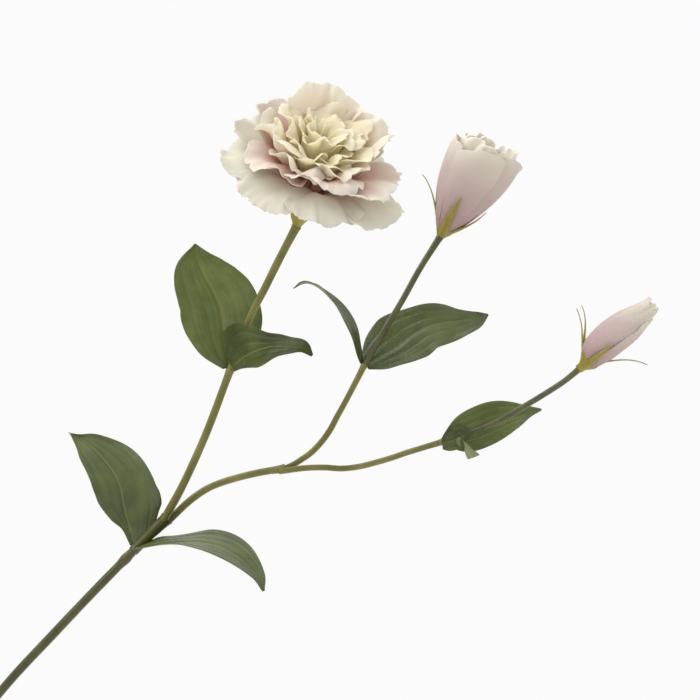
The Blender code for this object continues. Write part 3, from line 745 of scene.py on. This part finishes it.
# cup is the cup's radius in mm and rise stretches its height; stud is the stud's radius and
# height in mm. A sepal's row is its direction in degrees, half its width in mm, how soon it
# narrows, and four handles as (distance from the axis, height on it) in mm from base to tip.
calyxes = {
    "open_flower_calyx": dict(head=openHead, cup=4.6, rise=1.5, stud=(2.6, 20), sepals=[
        (235 + 72 * i, 2.4, 1.0, [(1.6, 2.0), (6.0, 7.0), (6.0, 13.0), (7.5, 20.0)])
        for i in range(5)]),
    "half_open_flower_calyx": dict(head=halfOpenHead, cup=4.4, rise=1.0, stud=(1.2, 8), sepals=[
        (193, 2.2, 1.5, [(1.4, 1.0), (6.5, 8), (14.5, 19.5), (22.5, 21.5)]),
        (266, 2.3, 0.8, [(1.4, 1.0), (9.4, 7.5), (14.6, 14.5), (16.0, 21.5)]),
        (343, 2.2, 1.0, [(1.4, 1.0), (7.5, 8), (12.0, 14), (13.8, 21)]),
        (45, 2.2, 1.0, [(1.4, 1.0), (7.5, 8), (12.5, 15), (13.9, 21)]),
        (120, 2.2, 1.0, [(1.4, 1.0), (7.5, 8), (12.5, 15), (13.9, 21)])]),
    "bud_calyx": dict(head=budHead, cup=5.5, rise=1.1, stud=(1.2, 8), sepals=[
        (186, 3.0, 1.8, [(1.4, 1.0), (6.5, 6), (11, 12), (20.5, 14.5)]),
        (158, 3.0, 1.8, [(1.4, 1.0), (7.5, 7), (13, 15.5), (21, 16.7)]),
        (283, 1.6, 0.7, [(1.4, 1.0), (9.0, 5), (10.3, 11), (9.6, 17.5)]),
        (355, 3.0, 2.0, [(1.4, 1.0), (7.0, 8), (9.6, 19), (19.5, 23.2)]),
        (70, 3.0, 1.0, [(1.4, 1.0), (9.0, 5), (10.3, 11), (9.6, 17.5)])]),
}
# cupOutline is (share of the cup's radius, height in mm); the sepal's sizes are mm.
calyxShape = dict(
    cupOutline=[(0.36, -2.2), (0.4, 0.0), (0.52, 1.0), (0.68, 2.0), (0.84, 3.0), (0.97, 4.2),
                (1.0, 5.4)],
    lipInside=0.9, lipHeight=5.6, floorHeight=3.4, ribs=5, ribHeight=0.06, sides=40,
    sepalSteps=32, sepalSides=12, tipHalf=0.16, thick=0.45, thinning=0.6, sway=1.5, keel=0.3,
)
calyxPlastic = mouldedPolyethylene("moulded yellow-green polyethylene", [
    (0.3, "#786b18"), (0.7, "#8e8330")], 0.42)


def makeCalyx(node, calyx):
    placed = headFrame(calyx["head"])
    cup, rise, (studRadius, studHeight) = calyx["cup"], calyx["rise"], calyx["stud"]
    profile = [(cup * share, height * rise if height > 0 else height)
               for share, height in calyxShape["cupOutline"]]
    profile += [(cup * calyxShape["lipInside"], calyxShape["lipHeight"] * rise),
                (studRadius + 0.1, calyxShape["floorHeight"]), (studRadius, studHeight - 0.4),
                (studRadius * 0.8, studHeight)]
    points, uvs = turnedPoints(profile, calyxShape["sides"], calyxShape["ribs"],
                               calyxShape["ribHeight"])
    faces = ringFaces(len(profile), calyxShape["sides"])
    steps, around = calyxShape["sepalSteps"], calyxShape["sepalSides"]
    for direction, wide, taper, handles in calyx["sepals"]:
        offset = len(points)
        outward = Vector((math.cos(math.radians(direction)), math.sin(math.radians(direction)), 0))
        spread = Vector((-outward.y, outward.x, 0))
        for s in range(steps + 1):
            u = s / steps
            (r, h, _), along = handlePoint([(*p, 0) for p in handles], u)
            half = wide * (1 - u) ** taper * (0.85 + 1.1 * u * (1 - u)) + calyxShape["tipHalf"]
            thick = calyxShape["thick"] * (1 - calyxShape["thinning"] * u)
            sway = calyxShape["sway"] * u * u * wobble(direction, 0.5, 3)
            middle = outward * r + Vector((0, 0, h)) + spread * sway
            square = outward * along.y - Vector((0, 0, along.x))
            for k in range(around):
                angle = 2 * math.pi * k / around
                keel = calyxShape["keel"] * half * math.cos(angle) ** 2
                points.append(middle + spread * (half * math.cos(angle))
                              + square * (thick * math.sin(angle) - keel))
                uvs.append((k / around, u))
        faces += ringFaces(steps + 1, around, offset)
    shiftX, shiftBy = calyx["head"]["shift"]
    points = [placed @ (point + Vector((shiftX * smoothStep(point.z / shiftBy), 0, 0)))
              for point in points]
    makeObject(node + "_moulding", points, faces, uvs, [calyxPlastic], node, "calyx_moulding")


for node, calyx in calyxes.items():
    makeCalyx(node, calyx)
print("calyxes made:", len(calyxes))


low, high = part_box("bud_vase")
vaseHeight = (high.z - low.z) / mm
bellyRadius = (high.x - low.x) / 2 / mm
vase = dict(
    # outside as (share of the belly's radius, share of the height)
    outside=[(0.744, 0), (0.872, 0.06), (0.977, 0.16), (1.0, 0.267), (0.942, 0.387),
             (0.767, 0.507), (0.535, 0.633), (0.388, 0.733), (0.36, 0.813), (0.36, 0.893),
             (0.407, 0.987)],
    wall=4.5, floor=8.0, floorCorner=3, throwingRings=0.12, ringSpacing=7.0,  # mm
    lipHeight=1.8, lipSteps=12, footInset=0.8, middle=2.0,
)
vaseGlaze = glazedStoneware("glazed stoneware", dict(
    glazeThick="#e6e0d2", glazeThin="#d9d0bd", speck="#7a5f45", lipBreak="#b99f7c", clay="#b79d80",
    lipFrom=146.0, lipTo=150.0, bareTo=3.5))


def makeVase(sides=128, rows=120):
    outer = [(r * bellyRadius, h * vaseHeight, 0) for r, h in vase["outside"]]
    profile = [(vase["middle"], 0.0), (outer[0][0] * 0.9, 0.0),
               (outer[0][0] - vase["footInset"], 0.0)]
    for i in range(1, rows + 1):
        point = curvePoint(outer, i / rows)
        ring = vase["throwingRings"] * math.sin(2 * math.pi * point.y / vase["ringSpacing"])
        profile.append((point.x + ring, point.y))
    lipRadius, rimHeight = profile[-1][0] - vase["wall"] / 2, profile[-1][1]
    for i in range(1, vase["lipSteps"]):  # the lip is rounded over
        angle = math.pi * i / vase["lipSteps"]
        profile.append((lipRadius + vase["wall"] / 2 * math.cos(angle),
                        rimHeight + vase["lipHeight"] * math.sin(angle)))
    for i in range(rows, 0, -1):
        point = curvePoint(outer, i / rows)
        if point.y > vase["floor"] + 1:
            profile.append((point.x - vase["wall"], point.y))
    profile += [(profile[-1][0] - vase["floorCorner"], vase["floor"]),
                (vase["middle"], vase["floor"])]
    points, uvs = turnedPoints(profile, sides, 0, 0.0)
    faces = ringFaces(len(profile), sides)
    makeObject("bud_vase_stoneware", points, faces, uvs, [vaseGlaze], "bud_vase",
               "glazed_stoneware")


makeVase()
print("vase made")


# over is how much light the top of the sky adds to what its two sides give: ahead is the
# camera's side and behind the other.
studio = dict(floorRadius=1150.0, floorColour="#f4f3f1", backdrop="#fbfbfb", over=0.68, ahead=0.78,
              behind=0.92, softboxes=[  # name, diameter in metres, watts, place in metres
                  ("top softbox", 0.9, 6.0, (-0.35, -0.15, 1.35)),
                  ("left softbox", 0.3, 2.0, (-0.75, -0.7, 0.95))],
              aim=(0.2, 0, 0.38), floorDrop=0.2)  # aim is in metres; the floor lies 0.2 mm low


def makeFloor(sides=96):
    mesh = bpy.data.meshes.new("floor")
    radius = studio["floorRadius"] * mm
    ring = [(radius * math.cos(2 * math.pi * k / sides), radius * math.sin(2 * math.pi * k / sides),
             -studio["floorDrop"] * mm) for k in range(sides)]
    mesh.from_pydata(ring, [], [tuple(range(sides))])
    floor = bpy.data.objects.new("floor", mesh)
    bpy.context.scene.collection.objects.link(floor)
    paint, tree, shader = newMaterial("matt white paper", Roughness=0.9, Specular_IOR_Level=0.2)
    place = addNode(tree, "ShaderNodeTexCoord")
    fibre = addNode(tree, "ShaderNodeTexNoise", {"Vector": place.outputs["Object"], "Scale": 400.0})
    tone = addNode(tree, "ShaderNodeValToRGB", {"Fac": fibre.outputs["Fac"]},
                   [(0.2, "#f1f0ee"), (0.8, studio["floorColour"])])
    linkLook(tree, shader, tone.outputs["Color"])
    mesh.materials.append(paint)


def makeLight():
    world = bpy.data.worlds.new("studio")
    bpy.context.scene.world = world
    world.use_nodes = True
    tree = world.node_tree
    tree.nodes.clear()
    look = addNode(tree, "ShaderNodeTexCoord")
    split = addNode(tree, "ShaderNodeSeparateXYZ", {"Vector": look.outputs["Generated"]})
    away = addNode(tree, "ShaderNodeMapRange",
                   {"Value": split.outputs["Y"], "From Min": -1.0, "To Min": studio["ahead"],
                    "To Max": studio["behind"]})
    top = addNode(tree, "ShaderNodeMapRange",
                  {"Value": split.outputs["Z"], "From Min": 0.0, "To Max": studio["over"]})
    bright = addNode(tree, "ShaderNodeMath", {0: away.outputs[0], 1: top.outputs[0]},
                     operation="ADD")
    lit = addNode(tree, "ShaderNodeBackground", {"Color": (1, 1, 1, 1),
                                                 "Strength": bright.outputs[0]})
    plain = addNode(tree, "ShaderNodeBackground", {"Color": toLinear(studio["backdrop"])})
    ray = addNode(tree, "ShaderNodeLightPath")
    both = addNode(tree, "ShaderNodeMixShader", {0: ray.outputs["Is Camera Ray"],
                                                 1: lit.outputs[0], 2: plain.outputs[0]})
    addNode(tree, "ShaderNodeOutputWorld", {"Surface": both.outputs[0]})
    bpy.context.scene.view_settings.view_transform = "Standard"

    for name, size, power, place in studio["softboxes"]:
        lamp = bpy.data.lights.new(name, "AREA")
        lamp.shape = "DISK"
        lamp.size = size
        lamp.energy = power
        box = bpy.data.objects.new(name, lamp)
        box.location = place
        aim = Vector(studio["aim"]) - box.location
        box.rotation_euler = aim.to_track_quat("-Z", "Y").to_euler()
        bpy.context.scene.collection.objects.link(box)


# The camera is level and looks straight at the spray's front. distance is mm before the origin,
# and right and up are mm from the second fork.
camera = dict(distance=894.7, lens=100.0, sensor=36.0, right=30.5, up=55.0)


def makeCamera():
    fork = stemRings("side_branch")[0][-1]
    data = bpy.data.cameras.new("camera")
    data.lens = camera["lens"]
    data.sensor_width = camera["sensor"]
    eye = bpy.data.objects.new("camera", data)
    eye.location = Vector((fork.x + camera["right"], -camera["distance"],
                           fork.z + camera["up"])) * mm
    eye.rotation_euler = (math.radians(90), 0, 0)
    bpy.context.scene.collection.objects.link(eye)
    bpy.context.scene.camera = eye


makeFloor()
makeLight()
makeCamera()
print("studio made")
